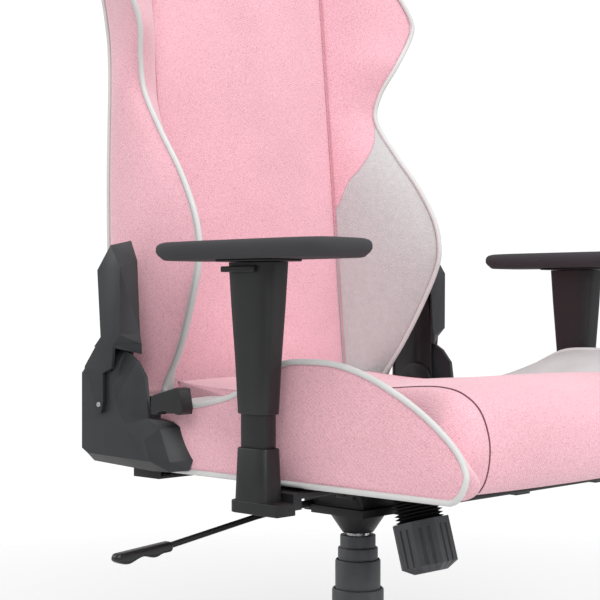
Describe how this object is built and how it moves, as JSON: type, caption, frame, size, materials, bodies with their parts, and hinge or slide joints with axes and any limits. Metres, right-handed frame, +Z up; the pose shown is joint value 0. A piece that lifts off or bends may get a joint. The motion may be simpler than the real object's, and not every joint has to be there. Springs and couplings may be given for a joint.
{
  "type": "gaming chair",
  "caption": "Racing-style office chair with winged backrest, bucket seat, adjustable armrests, recline hinges, tilt mechanism and gas lift on a five-leg caster base",
  "frame": {"origin": "on the floor under the gas lift, which is the centre of the bounding box's bottom face", "axes": "+Z up, the chair faces -Y, +X is the sitter's left"},
  "size_m": [0.7096, 0.7275, 1.301],
  "materials": {
    "fabric_pink": "woven matte upholstery",
    "plastic_dark": "fine grained matte",
    "plastic_gloss": "satin gloss",
    "steel_black": "black powder coat",
    "steel_bright": "bright",
    "rubber_black": "matte",
    "pad_rubber": "soft matte",
    "caster_tread": "smooth"
  },
  "bodies": {
    "base": {"base_star": "plastic_dark", "column_tube": "steel_black", "cover_lower": "plastic_dark"},
    "cover_middle": {"cover_middle": "plastic_dark"},
    "lift": {"lift_piston": "steel_bright", "cover_upper": "plastic_dark"},
    "mechanism": {"mechanism_housing": "steel_black", "tilt_pin": "steel_bright", "tension_bellows": "rubber_black"},
    "tension_knob": {"tension_knob": "plastic_dark"},
    "tension_bolt": {"tension_bolt": "steel_bright"},
    "lever_pivot": {"lever_pivot": "steel_black"},
    "height_lever": {"height_lever": "steel_black", "lever_grip": "plastic_gloss"},
    "seat": {"mechanism_plate": "steel_black", "seat_pan": "steel_black", "seat_cushion": "fabric_pink", "seat_bolster_right": "fabric_pink", "hinge_cover_lower_right": "plastic_dark", "recline_plate_lower_right": "steel_black", "arm_bracket_right": "steel_black", "arm_lower_sleeve_right": "plastic_dark", "seat_bolster_left": "fabric_pink", "hinge_cover_lower_left": "plastic_dark", "recline_plate_lower_left": "steel_black", "arm_bracket_left": "steel_black", "arm_lower_sleeve_left": "plastic_dark"},
    "backrest": {"back_frame": "steel_black", "back_cushion": "fabric_pink", "back_shell": "fabric_pink", "back_wing_right": "fabric_pink", "belt_trim_right": "plastic_dark", "hinge_cover_upper_right": "plastic_dark", "recline_plate_upper_right": "steel_black", "back_wing_left": "fabric_pink", "belt_trim_left": "plastic_dark", "hinge_cover_upper_left": "plastic_dark", "recline_plate_upper_left": "steel_black"},
    "recline_control": {"recline_shaft": "steel_bright", "recline_lever": "plastic_dark"},
    "caster_1": {"caster_hood_1": "plastic_dark"},
    "wheels_1": {"caster_wheels_1": "caster_tread"},
    "caster_2": {"caster_hood_2": "plastic_dark"},
    "wheels_2": {"caster_wheels_2": "caster_tread"},
    "caster_3": {"caster_hood_3": "plastic_dark"},
    "wheels_3": {"caster_wheels_3": "caster_tread"},
    "caster_4": {"caster_hood_4": "plastic_dark"},
    "wheels_4": {"caster_wheels_4": "caster_tread"},
    "caster_5": {"caster_hood_5": "plastic_dark"},
    "wheels_5": {"caster_wheels_5": "caster_tread"},
    "arm_right": {"arm_post_right": "plastic_dark", "arm_upper_sleeve_right": "plastic_dark"},
    "pad_carriage_right": {"pad_plate_right": "plastic_dark"},
    "pad_right": {"arm_pad_right": "pad_rubber"},
    "trigger_right": {"arm_trigger_right": "plastic_dark"},
    "arm_left": {"arm_post_left": "plastic_dark", "arm_upper_sleeve_left": "plastic_dark"},
    "pad_carriage_left": {"pad_plate_left": "plastic_dark"},
    "pad_left": {"arm_pad_left": "pad_rubber"},
    "trigger_left": {"arm_trigger_left": "plastic_dark"}
  },
  "joints": [
    {"name": "caster_swivel_1", "type": "hinge", "parent": "base", "child": "caster_1", "pos_m": [0, 0.311, 0.08], "axis": [0, 0, 1], "continuous": true},
    {"name": "caster_roll_1", "type": "hinge", "parent": "caster_1", "child": "wheels_1", "pos_m": [0, 0.332, 0.03], "axis": [-1, 0, 0], "continuous": true},
    {"name": "caster_swivel_2", "type": "hinge", "parent": "base", "child": "caster_2", "pos_m": [-0.29578, 0.0961, 0.08], "axis": [0, 0, 1], "continuous": true},
    {"name": "caster_roll_2", "type": "hinge", "parent": "caster_2", "child": "wheels_2", "pos_m": [-0.31575, 0.10259, 0.03], "axis": [-0.309, -0.9511, 0], "continuous": true},
    {"name": "caster_swivel_3", "type": "hinge", "parent": "base", "child": "caster_3", "pos_m": [-0.1828, -0.2516, 0.08], "axis": [0, 0, 1], "continuous": true},
    {"name": "caster_roll_3", "type": "hinge", "parent": "caster_3", "child": "wheels_3", "pos_m": [-0.19515, -0.26859, 0.03], "axis": [0.809, -0.5878, 0], "continuous": true},
    {"name": "caster_swivel_4", "type": "hinge", "parent": "base", "child": "caster_4", "pos_m": [0.1828, -0.2516, 0.08], "axis": [0, 0, 1], "continuous": true},
    {"name": "caster_roll_4", "type": "hinge", "parent": "caster_4", "child": "wheels_4", "pos_m": [0.19515, -0.26859, 0.03], "axis": [0.809, 0.5878, 0], "continuous": true},
    {"name": "caster_swivel_5", "type": "hinge", "parent": "base", "child": "caster_5", "pos_m": [0.29578, 0.0961, 0.08], "axis": [0, 0, 1], "continuous": true},
    {"name": "caster_roll_5", "type": "hinge", "parent": "caster_5", "child": "wheels_5", "pos_m": [0.31575, 0.10259, 0.03], "axis": [-0.309, 0.9511, 0], "continuous": true},
    {"name": "seat_lift", "type": "slide", "parent": "base", "child": "lift", "axis": [0, 0, 1], "range_m": [0, 0.08]},
    {"name": "cover_follow", "type": "slide", "parent": "base", "child": "cover_middle", "axis": [0, 0, 1], "range_m": [0, 0.055]},
    {"name": "seat_swivel", "type": "hinge", "parent": "lift", "child": "mechanism", "pos_m": [0, 0, 0.33], "axis": [0, 0, 1], "continuous": true},
    {"name": "seat_tilt", "type": "hinge", "parent": "mechanism", "child": "seat", "pos_m": [0, -0.035, 0.372], "axis": [-1, 0, 0], "range_deg": [0, 15], "stiffness_Nm_per_rad": 90, "springref_deg": -25.78},
    {"name": "tension_turn", "type": "hinge", "parent": "mechanism", "child": "tension_knob", "pos_m": [0, -0.088, 0.3715], "axis": [0, 0.2756, 0.9613], "range_deg": [0, 1800]},
    {"name": "tension_advance", "type": "slide", "parent": "mechanism", "child": "tension_bolt", "axis": [0, 0.2756, 0.9613], "range_m": [0, 0.0076]},
    {"name": "tilt_lock_pull", "type": "slide", "parent": "mechanism", "child": "lever_pivot", "axis": [-1, 0, 0], "range_m": [0, 0.008]},
    {"name": "height_release", "type": "hinge", "parent": "lever_pivot", "child": "height_lever", "pos_m": [-0.061, 0.04, 0.348], "axis": [0, 1, 0], "range_deg": [0, 8], "stiffness_Nm_per_rad": 2, "springref_deg": -8.59},
    {"name": "recline", "type": "hinge", "parent": "seat", "child": "backrest", "pos_m": [0, 0.128, 0.477], "axis": [-1, 0, 0], "range_deg": [0, 45]},
    {"name": "recline_release", "type": "hinge", "parent": "seat", "child": "recline_control", "pos_m": [0, 0.128, 0.477], "axis": [-1, 0, 0], "range_deg": [0, 25], "stiffness_Nm_per_rad": 1.5, "springref_deg": -20.05},
    {"name": "arm_height_right", "type": "slide", "parent": "seat", "child": "arm_right", "axis": [0, 0, 1], "range_m": [-0.025, 0.035]},
    {"name": "arm_trigger_press_right", "type": "slide", "parent": "arm_right", "child": "trigger_right", "axis": [0, 0, 1], "range_m": [0, 0.003], "stiffness_N_per_m": 700, "springref_m": -0.002},
    {"name": "pad_fore_aft_right", "type": "slide", "parent": "arm_right", "child": "pad_carriage_right", "axis": [0, -1, 0], "range_m": [-0.025, 0.025]},
    {"name": "pad_swivel_right", "type": "hinge", "parent": "pad_carriage_right", "child": "pad_right", "pos_m": [-0.287, -0.122, 0.638], "axis": [0, 0, 1], "range_deg": [-25, 25]},
    {"name": "arm_height_left", "type": "slide", "parent": "seat", "child": "arm_left", "axis": [0, 0, 1], "range_m": [-0.025, 0.035]},
    {"name": "arm_trigger_press_left", "type": "slide", "parent": "arm_left", "child": "trigger_left", "axis": [0, 0, 1], "range_m": [0, 0.003], "stiffness_N_per_m": 700, "springref_m": -0.002},
    {"name": "pad_fore_aft_left", "type": "slide", "parent": "arm_left", "child": "pad_carriage_left", "axis": [0, -1, 0], "range_m": [-0.025, 0.025]},
    {"name": "pad_swivel_left", "type": "hinge", "parent": "pad_carriage_left", "child": "pad_left", "pos_m": [0.287, -0.122, 0.638], "axis": [0, 0, 1], "range_deg": [-25, 25]}
  ],
  "couplings": [
    {"joint": "cover_follow", "follows": "seat_lift", "ratio": 0.65},
    {"joint": "tension_advance", "follows": "tension_turn", "m_per_rad": 0.00023873}
  ]
}
